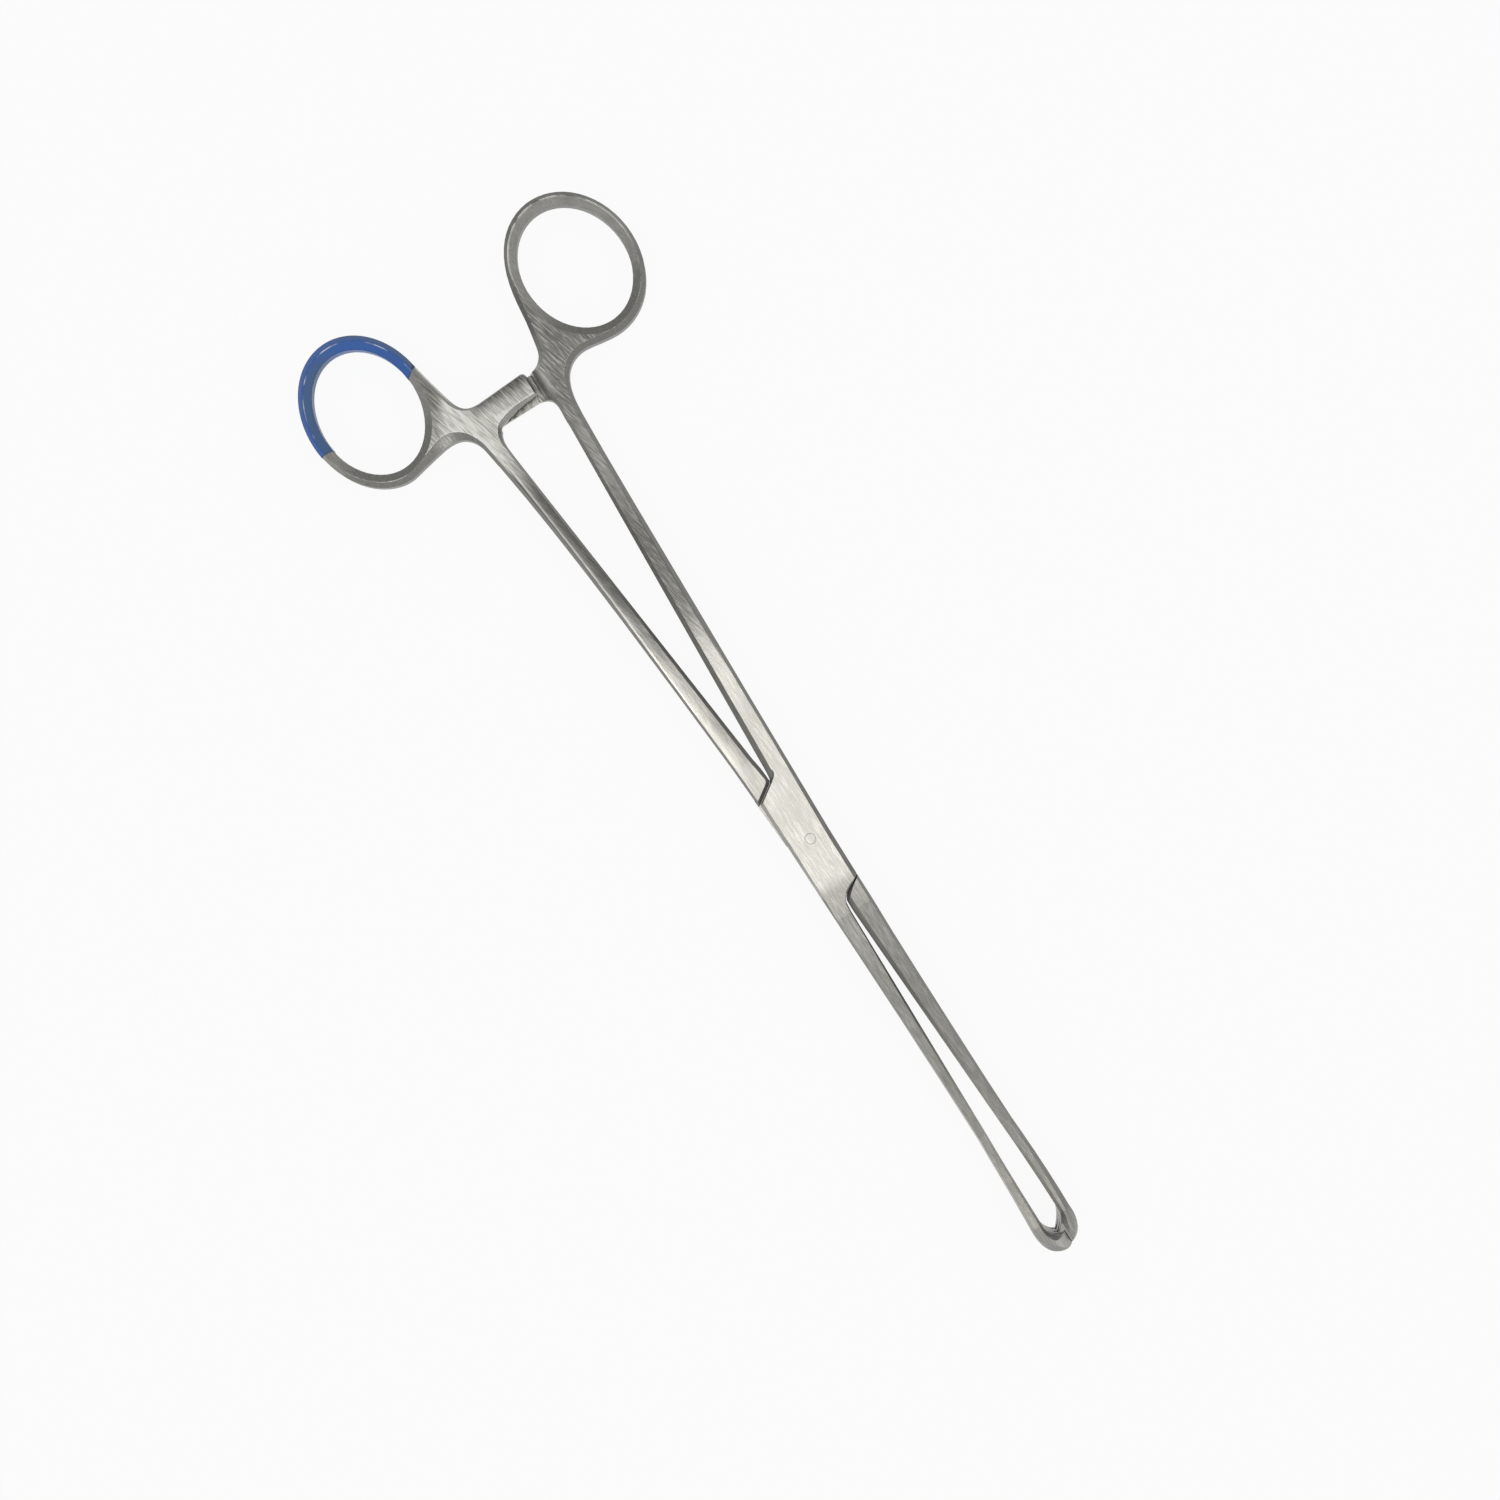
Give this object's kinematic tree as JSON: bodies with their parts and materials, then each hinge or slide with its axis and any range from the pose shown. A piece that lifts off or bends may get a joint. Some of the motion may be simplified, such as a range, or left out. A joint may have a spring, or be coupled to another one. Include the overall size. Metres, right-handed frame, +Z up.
{
  "type": "vulsellum forceps",
  "caption": "Long straight grasping forceps with finger rings, a ratchet, a box joint and claw-toothed jaws, one ring with a blue coating.",
  "frame": {"origin": "where the axis of the hinge pin meets the flat underside of the box", "axes": "+X along the instrument from the finger rings to the claws, +Y to the plain ring's side, +Z up along the hinge pin"},
  "size_m": [0.2387, 0.0782, 0.0092],
  "materials": {
    "female_steel": "satin, brushed along the shank and jaw",
    "male_steel": "satin, brushed along the shank and jaw",
    "pin_steel": "ground flush with the box",
    "blue_coating": "glossy thin coating"
  },
  "bodies": {
    "box_side": {"female_half": "female_steel", "joint_pin": "pin_steel"},
    "tenon_side": {"male_half": "male_steel", "ring_colour_coat": "blue_coating"}
  },
  "joints": [
    {"name": "box_joint", "type": "hinge", "parent": "box_side", "child": "tenon_side", "pos_m": [0, 0, 0.003], "axis": [0, 0, 1], "range_deg": [0, 32]}
  ]
}
